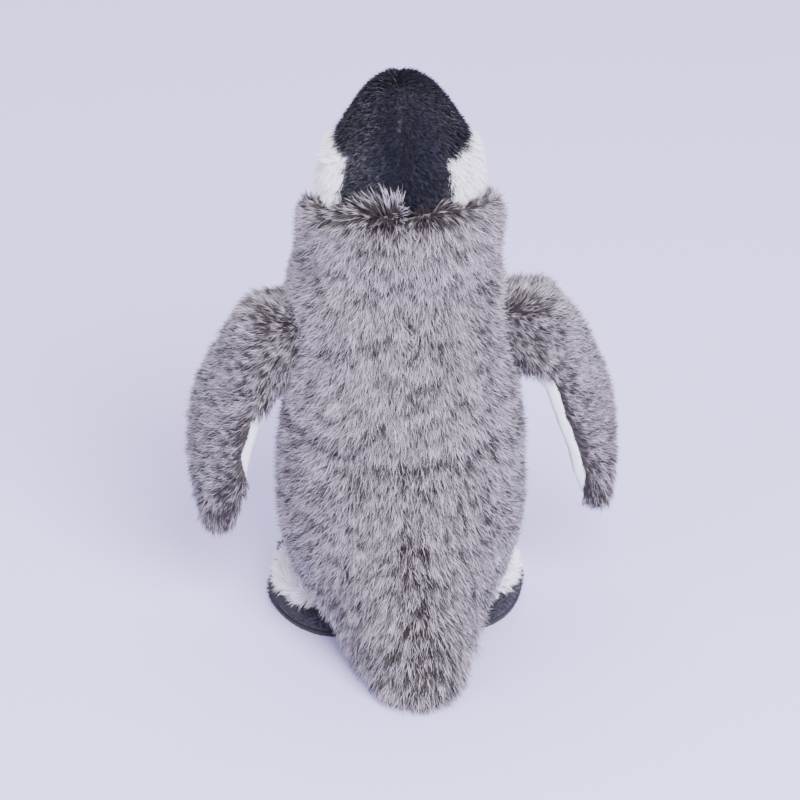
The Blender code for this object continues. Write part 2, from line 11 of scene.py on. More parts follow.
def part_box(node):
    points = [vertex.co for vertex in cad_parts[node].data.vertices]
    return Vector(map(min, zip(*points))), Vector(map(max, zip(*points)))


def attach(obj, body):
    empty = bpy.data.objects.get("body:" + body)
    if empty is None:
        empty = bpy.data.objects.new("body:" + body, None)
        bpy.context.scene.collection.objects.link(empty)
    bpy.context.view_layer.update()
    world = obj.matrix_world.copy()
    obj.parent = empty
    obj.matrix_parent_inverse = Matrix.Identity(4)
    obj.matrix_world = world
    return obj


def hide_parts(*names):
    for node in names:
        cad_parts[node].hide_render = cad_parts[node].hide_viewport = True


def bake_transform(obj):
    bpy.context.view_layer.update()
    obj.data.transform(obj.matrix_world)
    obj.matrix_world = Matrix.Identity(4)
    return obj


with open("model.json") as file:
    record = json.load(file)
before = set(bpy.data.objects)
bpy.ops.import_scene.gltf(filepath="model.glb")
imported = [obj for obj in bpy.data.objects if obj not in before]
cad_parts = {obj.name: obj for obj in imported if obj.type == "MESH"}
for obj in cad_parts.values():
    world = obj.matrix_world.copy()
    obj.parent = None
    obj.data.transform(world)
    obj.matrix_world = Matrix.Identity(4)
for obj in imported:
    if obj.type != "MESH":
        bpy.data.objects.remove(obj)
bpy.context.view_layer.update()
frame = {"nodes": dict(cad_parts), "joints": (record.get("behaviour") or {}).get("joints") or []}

joints = {joint["name"]: joint for joint in frame["joints"]}
trunkAxis = Vector(joints["head_turn"]["pos_m"])  # the head also turns about it
wingRoots = {side: Vector(joints[f"wing_{side}_flap"]["pos_m"]) for side in ("left", "right")}
signs = {"left": 1, "right": -1}  # the chick's own left is +X


def boxCentre(nodeName):
    low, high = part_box(nodeName)
    return (low + high) / 2


beakWay = boxCentre("beak_upper") - trunkAxis
headYaw = math.atan2(beakWay.x, -beakWay.y)  # how far the head looks round


# mesh tools

def meshArrays(mesh):
    points = np.empty(len(mesh.vertices) * 3, np.float32)
    mesh.vertices.foreach_get("co", points)
    normals = np.empty(len(mesh.vertices) * 3, np.float32)
    mesh.vertices.foreach_get("normal", normals)
    return points.reshape(-1, 3).astype(float), normals.reshape(-1, 3).astype(float)


def meshEdges(mesh):
    edges = np.empty(len(mesh.edges) * 2, np.int32)
    mesh.edges.foreach_get("vertices", edges)
    return edges.reshape(-1, 2)


def setPoints(mesh, points):
    mesh.vertices.foreach_set("co", points.astype(np.float32).ravel())
    mesh.update()


def relax(points, edges, rounds, share=0.5):
    counts = np.bincount(edges.ravel(), minlength=len(points))[:, None]
    for _ in range(rounds):
        sums = np.zeros_like(points)
        np.add.at(sums, edges[:, 0], points[edges[:, 1]])
        np.add.at(sums, edges[:, 1], points[edges[:, 0]])
        points = points + (sums / np.maximum(counts, 1) - points) * share
    return points


def newPiece(name, mesh):
    piece = bpy.data.objects.new(name, mesh)
    bpy.context.scene.collection.objects.link(piece)
    return piece


def shownMesh(piece):
    bpy.context.view_layer.update()
    graph = bpy.context.evaluated_depsgraph_get()
    return bpy.data.meshes.new_from_object(piece.evaluated_get(graph))


def applyAll(piece):
    mesh = shownMesh(piece)
    piece.modifiers.clear()
    piece.data = mesh
    return piece


def largestIsland(mesh):
    bm = bmesh.new()
    bm.from_mesh(mesh)
    unseen = set(bm.verts)
    islands = []
    while unseen:
        island = [unseen.pop()]
        for vert in island:
            for edge in vert.link_edges:
                other = edge.other_vert(vert)
                if other in unseen:
                    unseen.remove(other)
                    island.append(other)
        islands.append(island)
    islands.sort(key=len)
    for island in islands[:-1]:
        bmesh.ops.delete(bm, geom=island, context="VERTS")
    bm.to_mesh(mesh)
    bm.free()


def voxelSkin(piece, voxel):  # one closed surface of even faces around the piece
    remesh = piece.modifiers.new("Voxels", "REMESH")
    remesh.mode = "VOXEL"
    remesh.voxel_size = voxel
    applyAll(piece)


def smooth(piece, rounds):
    points, _ = meshArrays(piece.data)
    setPoints(piece.data, relax(points, meshEdges(piece.data), rounds))


def wholeForm(name, nodeNames, voxel, rounds):  # one closed surface around these CAD nodes
    bm = bmesh.new()
    for nodeName in nodeNames:
        bm.from_mesh(frame["nodes"][nodeName].data)
    bmesh.ops.remove_doubles(bm, verts=bm.verts, dist=0.000001)
    mesh = bpy.data.meshes.new(name)
    bm.to_mesh(mesh)
    bm.free()
    piece = newPiece(name, mesh)
    voxelSkin(piece, voxel)
    largestIsland(piece.data)
    smooth(piece, rounds)
    return piece


def fullSlices(piece, step, voxel, turns=72):  # rebuilt from level slices that have no hollows
    points, _ = meshArrays(piece.data)
    low, high = points[:, 2].min(), points[:, 2].max()
    levels = np.arange(low + 0.4 * step, high - 0.3 * step, step)
    angles = np.linspace(0, 2 * math.pi, turns, endpoint=False)
    ways = np.stack([np.cos(angles), np.sin(angles)], axis=1)
    centres, spans = [], []
    for level in levels:
        near = points[np.abs(points[:, 2] - level) < step, :2]
        centre = (near.min(axis=0) + near.max(axis=0)) / 2
        centres.append(centre)
        spans.append(((near - centre) @ ways.T).max(axis=0))
    centres, spans = np.array(centres), np.array(spans)
    for _ in range(3):
        for rows in (centres, spans):
            rows[1:-1] = (rows[:-2] + 2 * rows[1:-1] + rows[2:]) / 4
        spans = (np.roll(spans, 1, axis=1) + 2 * spans + np.roll(spans, -1, axis=1)) / 4
    slopes = (np.roll(spans, -1, axis=1) - np.roll(spans, 1, axis=1)) / (2 * angles[1])
    across = np.stack([-ways[:, 1], ways[:, 0]], axis=1)
    rings = centres[:, None] + spans[..., None] * ways + slopes[..., None] * across
    verts = [(x, y, level) for ring, level in zip(rings, levels) for x, y in ring]
    verts += [(*centres[0], low), (*centres[-1], high)]
    faces = []
    for row in range(len(levels) - 1):
        for turn in range(turns):
            a, b = row * turns + turn, row * turns + (turn + 1) % turns
            faces.append((a, b, b + turns, a + turns))
    last = (len(levels) - 1) * turns
    for turn in range(turns):
        after = (turn + 1) % turns
        faces += [(len(verts) - 2, after, turn), (len(verts) - 1, last + turn, last + after)]
    mesh = bpy.data.meshes.new(piece.name)
    mesh.from_pydata(verts, [], faces)
    piece.data = mesh
    voxelSkin(piece, voxel)
    smooth(piece, 3)


def nodeTree(nodeName):
    mesh = frame["nodes"][nodeName].data
    mesh.calc_loop_triangles()
    points = [vert.co.copy() for vert in mesh.vertices]
    return BVHTree.FromPolygons(points, [tuple(t.vertices) for t in mesh.loop_triangles])


def nearestNodes(points, nodeNames):  # the nearest node, and how far its seam with the next is
    trees = [nodeTree(nodeName) for nodeName in nodeNames]
    reach = np.array([[tree.find_nearest(Vector(p))[3] for p in points] for tree in trees])
    order = np.sort(reach, axis=0)
    return reach.argmin(axis=0), order[1] - order[0]


def unit(vectors):
    return vectors / np.maximum(np.linalg.norm(vectors, axis=1, keepdims=True), 1e-9)


def smoothStep(values, low, high):
    t = np.clip((values - low) / (high - low), 0, 1)
    return t * t * (3 - 2 * t)


def inflate(piece, seamReach, look):  # the filling presses the skin out between its seams
    before, normals = meshArrays(piece.data)
    room = look["swell"] * (1 - np.exp(-(seamReach / look["seamWidth"]) ** 2))
    held = np.flatnonzero(seamReach < look["seamHold"])
    seams = piece.vertex_groups.new(name="seams")
    seams.add([int(i) for i in held], 1.0, "REPLACE")
    cloth = piece.modifiers.new("Filling", "CLOTH")
    settings = cloth.settings
    settings.quality = 4
    settings.mass = 0.2
    settings.use_pressure = True
    settings.uniform_pressure_force = look["pressure"]
    settings.effector_weights.gravity = 0
    settings.vertex_group_mass = "seams"
    cloth.collision_settings.use_collision = False
    for frameNumber in range(1, look["frames"] + 1):
        bpy.context.scene.frame_set(frameNumber)
    after, _ = meshArrays(shownMesh(piece))
    piece.modifiers.clear()
    piece.vertex_groups.clear()
    bpy.context.scene.frame_set(1)
    moved = after - before
    length = np.linalg.norm(moved, axis=1, keepdims=True)
    moved *= np.minimum(1, room[:, None] / np.maximum(length, 1e-9))
    setPoints(piece.data, relax(before + moved, meshEdges(piece.data), 2, 0.4))


def subdivide(piece):
    modifier = piece.modifiers.new("Finer", "SUBSURF")
    modifier.levels = 1
    modifier.render_levels = 1
    applyAll(piece)


def smoothRim(bm, rounds=5):  # evens out the stepped edge left by choosing whole faces
    beside = {}
    for edge in bm.edges:
        if edge.is_boundary:
            for vert in edge.verts:
                beside.setdefault(vert, []).append(edge.other_vert(vert))
    for _ in range(rounds):
        places = {vert: vert.co.lerp(sum((o.co for o in others), Vector()) / len(others), 0.5)
                  for vert, others in beside.items()}
        for vert, place in places.items():
            vert.co = place


def patch(name, piece, chosen):  # the chosen faces of a skin, as a piece of their own
    bm = bmesh.new()
    bm.from_mesh(piece.data)
    bm.faces.ensure_lookup_table()
    bmesh.ops.delete(bm, geom=[f for f in bm.faces if not chosen[f.index]], context="FACES")
    smoothRim(bm)
    mesh = bpy.data.meshes.new(name)
    bm.to_mesh(mesh)
    bm.free()
    mesh.shade_smooth()
    return newPiece(name, mesh)


def faceCentres(mesh):
    centres = np.empty(len(mesh.polygons) * 3, np.float32)
    mesh.polygons.foreach_get("center", centres)
    return centres.reshape(-1, 3).astype(float)


def faceNormals(mesh):
    normals = np.empty(len(mesh.polygons) * 3, np.float32)
    mesh.polygons.foreach_get("normal", normals)
    return normals.reshape(-1, 3).astype(float)


def faceMeans(mesh, values):  # from a value at every point to one for every face
    sums = np.zeros(len(mesh.polygons))
    corners = np.empty(len(mesh.loops), np.int32)
    mesh.loops.foreach_get("vertex_index", corners)
    counts = np.empty(len(mesh.polygons), np.int32)
    mesh.polygons.foreach_get("loop_total", counts)
    np.add.at(sums, np.repeat(np.arange(len(counts)), counts), values[corners])
    return sums / counts


def setAttribute(mesh, name, kind, values):
    attribute = mesh.attributes.new(name, kind, "POINT")
    key = "vector" if kind == "FLOAT_VECTOR" else "value"
    attribute.data.foreach_set(key, np.asarray(values, np.float32).ravel())


# materials

def addNode(tree, kind, inputs=None, **settings):
    made = tree.nodes.new(kind)
    for key, value in settings.items():
        setattr(made, key, value)
    for key, value in (inputs or {}).items():
        if isinstance(value, bpy.types.NodeSocket):
            tree.links.new(value, made.inputs[key])
        else:
            made.inputs[key].default_value = value
    return made


def ramp(tree, factor, stops):
    made = addNode(tree, "ShaderNodeValToRGB", {"Fac": factor})
    elements = made.color_ramp.elements
    while len(elements) < len(stops):
        elements.new(0.5)
    for element, (place, colour) in zip(elements, stops):
        element.position = place
        element.color = (*colour, 1)
    return made.outputs["Color"]


def mixColour(tree, factor, first, second):
    mixer = addNode(tree, "ShaderNodeMix", data_type="RGBA")
    given = ((mixer.inputs[0], factor), (mixer.inputs[6], first), (mixer.inputs[7], second))
    for socket, value in given:
        if isinstance(value, bpy.types.NodeSocket):
            tree.links.new(value, socket)
        else:
            socket.default_value = (*value, 1) if isinstance(value, tuple) else value
    return mixer.outputs[2]


def calculate(tree, operation, first, second):
    made = addNode(tree, "ShaderNodeMath", {0: first, 1: second}, operation=operation)
    return made.outputs[0]


def mapRange(tree, value, low, high):
    ends = {"Value": value, "From Min": low, "From Max": high}
    return addNode(tree, "ShaderNodeMapRange", ends, interpolation_type="SMOOTHSTEP").outputs[0]


def newMaterial(name, roughness, **constants):
    material = bpy.data.materials.new(name)
    material.use_nodes = True
    tree = material.node_tree
    shader = tree.nodes["Principled BSDF"]
    shader.inputs["Roughness"].default_value = roughness
    for key, value in constants.items():
        shader.inputs[key.replace("_", " ")].default_value = value
    return material, tree, shader


def attributeValue(tree, name):
    return addNode(tree, "ShaderNodeAttribute", attribute_name=name).outputs["Fac"]


strandShare = 0.3  # how much of a strand's chance to be dark is its own, the rest is its tuft's
darkBlend = 0.16


def furMaterial(name, look):
    material, tree, shader = newMaterial(name, look["roughness"], Sheen_Weight=look["sheen"])
    along = attributeValue(tree, "along")
    strand = attributeValue(tree, "strand")
    tuft = attributeValue(tree, "tuftTint")
    tone = attributeValue(tree, "furTone")
    # the ramps darken each strand towards its root: painted shade deep in the pile
    pale = ramp(tree, along, look["paleStops"])
    dark = ramp(tree, along, look["darkStops"])
    ownChance = calculate(tree, "MULTIPLY", strand, strandShare)
    tuftChance = calculate(tree, "MULTIPLY", tuft, 1 - strandShare)
    chance = calculate(tree, "ADD", calculate(tree, "ADD", ownChance, tuftChance), tone)
    isDark = mapRange(tree, chance, look["darkFrom"], look["darkFrom"] + darkBlend)
    colour = mixColour(tree, isDark, pale, dark)
    streak = calculate(tree, "SUBTRACT", 1.0, calculate(tree, "MULTIPLY", strand, look["strandContrast"]))
    shade = calculate(tree, "SUBTRACT", streak, calculate(tree, "MULTIPLY", tuft, look["tuftContrast"]))
    scaled = addNode(tree, "ShaderNodeVectorMath", {0: colour, 1: shade}, operation="MULTIPLY")
    tree.links.new(scaled.outputs[0], shader.inputs["Base Color"])
    return material


def clothMaterial(name, look):  # the woven or knitted backing, and plain cloth
    material, tree, shader = newMaterial(name, look["roughness"], Sheen_Weight=look["sheen"])
    place = addNode(tree, "ShaderNodeTexCoord").outputs["Object"]
    clouds = addNode(tree, "ShaderNodeTexNoise", {"Vector": place, "Scale": 90, "Detail": 4})
    fibres = addNode(tree, "ShaderNodeTexNoise", {"Vector": place, "Scale": 1600, "Detail": 5})
    colour = mixColour(tree, clouds.outputs[0], look["colour"], look["otherColour"])
    colour = mixColour(tree, mapRange(tree, fibres.outputs[0], 0.35, 0.7), colour, look["fibreColour"])
    tree.links.new(colour, shader.inputs["Base Color"])
    rough = {"Height": fibres.outputs[0], "Strength": look["bump"], "Distance": 0.0004}
    bump = addNode(tree, "ShaderNodeBump", rough)
    tree.links.new(bump.outputs[0], shader.inputs["Normal"])
    return material


# The dark start of every ramp, at the strand's root, is painted shade deep in the pile; in the grey pile it is
# partly also the real darker undercoat.
furLooks = {
    "grey": {
        "roughness": 0.50, "sheen": 0.03, "darkFrom": 0.50, "strandContrast": 0.40, "tuftContrast": 0.68,
        "paleStops": [(0, (0.008, 0.004, 0.005)), (0.50, (0.040, 0.026, 0.032)), (0.74, (0.54, 0.48, 0.58)),
                      (1, (1.0, 0.94, 1.0))],
        "darkStops": [(0, (0.010, 0.005, 0.006)), (0.30, (0.13, 0.10, 0.12)), (0.60, (0.050, 0.024, 0.024)),
                      (1, (0.020, 0.008, 0.008))],
    },
    "white": {
        "roughness": 0.6, "sheen": 0.3, "darkFrom": 3.0, "strandContrast": 0.05, "tuftContrast": 0.06,
        "paleStops": [(0, (0.66, 0.64, 0.74)), (0.4, (0.90, 0.88, 0.96)), (1, (0.98, 0.96, 1.0))],
        "darkStops": [(0, (0.5, 0.5, 0.5)), (1, (0.8, 0.8, 0.8))],
    },
    "black": {
        "roughness": 0.5, "sheen": 0.02, "darkFrom": 0.55, "strandContrast": 0.30, "tuftContrast": 0.25,
        # the navy tint is the cap's own colour; the lighter tips are partly a painted sheen highlight
        "paleStops": [(0, (0.001, 0.001, 0.004)), (0.5, (0.005, 0.005, 0.015)), (1, (0.017, 0.017, 0.045))],
        "darkStops": [(0, (0.004, 0.004, 0.008)), (1, (0.012, 0.012, 0.020))],
    },
}
clothLooks = {
    # the grey backing is dark as painted shade deep in the pile, where the skin shows between tufts
    "greyBacking": {"roughness": 0.9, "sheen": 0.1, "bump": 0.4, "colour": (0.045, 0.036, 0.042),
                    "otherColour": (0.065, 0.053, 0.060), "fibreColour": (0.11, 0.09, 0.10)},
    "whiteBacking": {"roughness": 0.9, "sheen": 0.2, "bump": 0.4, "colour": (0.62, 0.61, 0.65),
                     "otherColour": (0.70, 0.69, 0.73), "fibreColour": (0.80, 0.79, 0.82)},
    "blackBacking": {"roughness": 0.9, "sheen": 0.1, "bump": 0.4, "colour": (0.010, 0.010, 0.018),
                     "otherColour": (0.014, 0.014, 0.024), "fibreColour": (0.022, 0.023, 0.038)},
    "wingLining": {"roughness": 0.75, "sheen": 0.35, "bump": 0.25, "colour": (0.66, 0.66, 0.73),
                   "otherColour": (0.72, 0.72, 0.79), "fibreColour": (0.80, 0.80, 0.86)},
    "soleCloth": {"roughness": 0.85, "sheen": 0.1, "bump": 0.6, "colour": (0.012, 0.012, 0.020),
                  "otherColour": (0.016, 0.016, 0.026), "fibreColour": (0.026, 0.026, 0.040)},
    "filling": {"roughness": 0.95, "sheen": 0.3, "bump": 0.8, "colour": (0.78, 0.78, 0.78),
                "otherColour": (0.86, 0.86, 0.86), "fibreColour": (0.93, 0.93, 0.93)},
    "pelletCloth": {"roughness": 0.9, "sheen": 0.1, "bump": 0.7, "colour": (0.62, 0.58, 0.50),
                    "otherColour": (0.68, 0.64, 0.56), "fibreColour": (0.76, 0.73, 0.66)},
}
furMaterials = {name: furMaterial(f"{name}Fur", look) for name, look in furLooks.items()}
clothMaterials = {name: clothMaterial(name, look) for name, look in clothLooks.items()}


# fur

tuftKinds = 8  # differing tufts in each collection
patchScale = 420.0  # the grain of the light and dark patches in the pile
tuftLooks = {  # lengths are shares of the strand's length
    "long": {"count": 9, "spread": 0.070, "width": 0.030, "rise": 38, "stray": 9, "curl": 12},
    "medium": {"count": 8, "spread": 0.13, "width": 0.038, "rise": 50, "stray": 17, "curl": 14},
    "short": {"count": 6, "spread": 0.22, "width": 0.075, "rise": 66, "stray": 24, "curl": 14},
}


def tuftMesh(name, look, rng):  # a lock of flat strands that rises from z = 0 and leans towards +X
    points, faces, along, strand = [], [], [], []
    for _ in range(look["count"]):
        turn = rng.uniform(0, 2 * math.pi)
        out = look["spread"] * math.sqrt(rng.uniform(0, 1))
        place = Vector((out * math.cos(turn), out * math.sin(turn), 0))
        sway = math.radians(rng.normal(0, look["stray"]))
        curl = math.radians(rng.normal(0, look["curl"]))
        roll = rng.uniform(-0.9, 0.9)
        reach = rng.uniform(0.72, 1.0)
        shade = rng.uniform(0, 1)
        first = len(points)
        for step in range(2):
            rise = math.radians(look["rise"] * (1 - 0.5 * step))
            turned = sway + curl * step
            level = math.cos(rise)
            way = Vector((level * math.cos(turned), level * math.sin(turned), math.sin(rise)))
            side = Matrix.Rotation(roll, 3, way) @ way.cross(Vector((0, 0, 1))).normalized()
            half = look["width"] / 2 * (1 - 0.2 * step)
            points += [place - side * half, place + side * half]
            along += [step / 2, step / 2]
            place = place + way * reach / 2
        points.append(place)
        along.append(1)
        strand += [shade] * 5
        faces += [(first, first + 1, first + 3, first + 2), (first + 2, first + 3, first + 4)]
    mesh = bpy.data.meshes.new(name)
    mesh.from_pydata(points, [], faces)
    mesh.shade_smooth()
    setAttribute(mesh, "along", "FLOAT", along)
    setAttribute(mesh, "strand", "FLOAT", strand)
    return mesh


def tuftCollection(name, look, seed):
    rng = np.random.default_rng(seed)
    made = bpy.data.collections.new(f"{name}Tufts")
    for number in range(tuftKinds):
        tuft = bpy.data.objects.new(f"{name}Tuft{number}", tuftMesh(f"{name}Tuft", look, rng))
        made.objects.link(tuft)
    return made


tufts = {name: tuftCollection(name, look, 40 + i) for i, (name, look) in enumerate(tuftLooks.items())}


def furTree():
    tree = bpy.data.node_groups.new("combedFur", "GeometryNodeTree")
    sockets = (
        ("Skin", "NodeSocketGeometry"), ("Tufts", "NodeSocketCollection"), ("Spacing", "NodeSocketFloat"),
        ("Yaw Spread", "NodeSocketFloat"), ("Rise Spread", "NodeSocketFloat"), ("Seed", "NodeSocketInt"),
        ("Patches", "NodeSocketFloat"),
        ("Material", "NodeSocketMaterial"),
    )
    for name, kind in sockets:
        tree.interface.new_socket(name, in_out="INPUT", socket_type=kind)
    tree.interface.new_socket("Fur", in_out="OUTPUT", socket_type="NodeSocketGeometry")
    given = addNode(tree, "NodeGroupInput").outputs

    def named(name, kind="FLOAT"):
        return addNode(tree, "GeometryNodeInputNamedAttribute", {"Name": name}, data_type=kind).outputs[0]

    def scatter(low, high, offset):
        seed = addNode(tree, "ShaderNodeMath", {0: given["Seed"], 1: offset}, operation="ADD").outputs[0]
        made = addNode(tree, "FunctionNodeRandomValue", {"Seed": seed}, data_type="FLOAT")
        for socket, value in ((made.inputs[2], low), (made.inputs[3], high)):
            if isinstance(value, bpy.types.NodeSocket):
                tree.links.new(value, socket)
            else:
                socket.default_value = value
        return made.outputs[1]

    def around(spread, offset):
        lowest = addNode(tree, "ShaderNodeMath", {0: spread, 1: -1.0}, operation="MULTIPLY").outputs[0]
        return scatter(lowest, spread, offset)

    points = addNode(
        tree, "GeometryNodeDistributePointsOnFaces",
        {"Mesh": given["Skin"], "Distance Min": given["Spacing"], "Density Max": 3000000.0,
         "Density Factor": named("furDensity"), "Seed": given["Seed"]},
        distribute_method="POISSON",
    )
    upright = addNode(
        tree, "FunctionNodeAlignRotationToVector", {"Vector": points.outputs["Normal"]}, axis="Z"
    )
    combed = addNode(
        tree, "FunctionNodeAlignRotationToVector",
        {"Rotation": upright.outputs[0], "Vector": named("furComb", "FLOAT_VECTOR")}, axis="X", pivot_axis="Z",
    )
    lift = addNode(
        tree, "ShaderNodeMath", {0: around(given["Rise Spread"], 1), 1: named("furLift")}, operation="SUBTRACT"
    )
    sway = addNode(
        tree, "ShaderNodeCombineXYZ", {"Y": lift.outputs[0], "Z": around(given["Yaw Spread"], 2)}
    )
    swayed = addNode(
        tree, "FunctionNodeRotateRotation",
        {"Rotation": combed.outputs[0],
         "Rotate By": addNode(tree, "FunctionNodeEulerToRotation", {0: sway.outputs[0]}).outputs[0]},
        rotation_space="LOCAL",
    )
    size = addNode(
        tree, "ShaderNodeMath", {0: named("furLength"), 1: scatter(0.8, 1.12, 3)}, operation="MULTIPLY"
    )
    whole = addNode(
        tree, "GeometryNodeCollectionInfo",
        {"Collection": given["Tufts"], "Separate Children": True, "Reset Children": True},
    )
    pick = addNode(tree, "FunctionNodeRandomValue", data_type="INT")
    pick.inputs[4].default_value = 0
    pick.inputs[5].default_value = tuftKinds - 1
    tree.links.new(given["Seed"], pick.inputs["Seed"])
    placed = addNode(
        tree, "GeometryNodeInstanceOnPoints",
        {"Points": points.outputs[0], "Instance": whole.outputs[0], "Pick Instance": True,
         "Instance Index": pick.outputs[2], "Rotation": swayed.outputs[0], "Scale": size.outputs[0]},
    )
    patches = addNode(tree, "ShaderNodeTexNoise", {"Scale": given["Patches"], "Detail": 1.0})
    spots = addNode(
        tree, "ShaderNodeMapRange", {"Value": patches.outputs[0], "From Min": 0.30, "From Max": 0.70}
    )
    tint = addNode(
        tree, "ShaderNodeMix", {0: 0.4, 2: scatter(0.0, 1.0, 4), 3: spots.outputs[0]}, data_type="FLOAT"
    )
    tinted = addNode(
        tree, "GeometryNodeStoreNamedAttribute",
        {"Geometry": placed.outputs[0], "Name": "tuftTint", "Value": tint.outputs[0]},
        data_type="FLOAT", domain="INSTANCE",
    )
    real = addNode(tree, "GeometryNodeRealizeInstances", {0: tinted.outputs[0]})
    painted = addNode(
        tree, "GeometryNodeSetMaterial", {"Geometry": real.outputs[0], "Material": given["Material"]}
    )
    addNode(tree, "NodeGroupOutput", {"Fur": painted.outputs[0]})
    return tree


combedFur = furTree()


def dropFurAttributes(mesh, names=("furComb", "furLift", "furLength", "furDensity", "furTone")):
    for name in names:
        if name in mesh.attributes:
            mesh.attributes.remove(mesh.attributes[name])


def growFur(name, skin, look):
    piece = newPiece(name, skin.data.copy())
    modifier = piece.modifiers.new("Fur", "NODES")
    modifier.node_group = combedFur
    values = {
        "Tufts": tufts[look["tuft"]], "Spacing": look["spacing"], "Seed": look["seed"],
        "Yaw Spread": math.radians(look["yawSpread"]), "Rise Spread": math.radians(look["riseSpread"]),
        "Material": furMaterials[look["fur"]], "Patches": patchScale,
    }
    for item in combedFur.interface.items_tree:
        if item.name in values and item.in_out == "INPUT":
            modifier[item.identifier] = values[item.name]
    applyAll(piece)
    mesh = piece.data
    dropFurAttributes(mesh, ("furComb", "furLift", "furLength", "furDensity"))
    points, _ = meshArrays(mesh)
    points[:, 2] = np.maximum(points[:, 2], 0.0003)  # nothing hangs through the floor
    setPoints(mesh, points)
    triangles = sum(len(p.vertices) - 2 for p in mesh.polygons)
    print(f"  {name}: {triangles} triangles")
    return piece


def onSurface(vectors, normals):
    return unit(vectors - normals * (vectors * normals).sum(axis=1, keepdims=True))


def swirl(points, amount, size):  # a slow, even change of direction over the fur
    return np.array([noise.noise_vector(Vector(p) / size) for p in points]) * amount


def combSkin(mesh, field, normals, points):  # stores what the fur needs on the skin
    comb = onSurface(field["comb"] + swirl(points, 0.28, 0.014), normals)
    setAttribute(mesh, "furComb", "FLOAT_VECTOR", comb)
    for name in ("furLength", "furLift", "furTone", "furDensity"):
        setAttribute(mesh, name, "FLOAT", field[name])


def backTo(piece, body, nodeNames):
    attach(piece, body)
    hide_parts(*nodeNames)
    return piece


def finishSkin(skin, cloth, thickness):  # the backing cloth under the pile
    skin.data.materials.clear()
    skin.data.materials.append(clothMaterials[cloth])
    solid = skin.modifiers.new("Backing", "SOLIDIFY")
    solid.thickness = thickness
    solid.offset = -1
    applyAll(skin)
    dropFurAttributes(skin.data)


def sewPanels(form, body, panels, furs, look):  # cuts the whole form into panels, each with its fur
    centres = faceCentres(form.data) + faceNormals(form.data) * look["skinInset"]
    owner, _ = nearestNodes(centres, panels)
    for number, panelName in enumerate(panels):
        words = panelName.split("_")
        plain = words[0] + "".join(word.title() for word in words[1:])
        kind = panelName.replace("_left", "").replace("_right", "")
        skin = patch(f"{plain}Skin", form, owner == number)
        furLook = dict(furs[kind])
        furLook["seed"] += number
        fur = growFur(f"{plain}Fur", skin, furLook)
        finishSkin(skin, f"{furLook['fur']}Backing", look["backing"])
        for piece in (skin, fur):
            backTo(piece, body, [panelName])
    bpy.data.objects.remove(form)


# trunk

trunkLook = {
    "voxel": 0.0030, "rounds": 3, "swell": 0.0026, "seamWidth": 0.006, "seamHold": 0.0012, "pressure": 4.0,
    "frames": 16, "skinInset": 0.0042, "capeReach": 0.022, "capeLift": 0.0007, "creaseDepth": 0.0009,
    "seamDepth": 0.0008, "shoulderFill": 0.0036, "hemInset": 0.0016, "backing": 0.0014,
    "slots": {"grey": "grey_long_pile", "white": "white_long_pile"},
}
trunkPanels = [
    "upper_back_left", "upper_back_right", "lower_back_left", "lower_back_right", "tail_underside",
    "belly_panel", "base_panel",
]
trunkFurs = {
    "upper_back": {"tuft": "long", "spacing": 0.00078, "yawSpread": 13, "riseSpread": 7, "fur": "grey",
                   "seed": 11},
    "lower_back": {"tuft": "long", "spacing": 0.00086, "yawSpread": 13, "riseSpread": 7, "fur": "grey",
                   "seed": 13},
    "tail_underside": {"tuft": "long", "spacing": 0.0011, "yawSpread": 15, "riseSpread": 4, "fur": "grey",
                       "seed": 15},
    "belly_panel": {"tuft": "long", "spacing": 0.0014, "yawSpread": 16, "riseSpread": 9, "fur": "white",
                    "seed": 17},
    "base_panel": {"tuft": "medium", "spacing": 0.0015, "yawSpread": 20, "riseSpread": 8, "fur": "white",
                   "seed": 19},
}


def aroundTrunk(points):  # the angle from the middle of the back, and the way round from it
    x = points[:, 0] - trunkAxis.x
    y = points[:, 1] - trunkAxis.y
    angle = np.arctan2(x, y)
    away = np.stack([np.cos(angle), -np.sin(angle), np.zeros(len(angle))], axis=1)
    return angle, away * np.sign(x)[:, None]


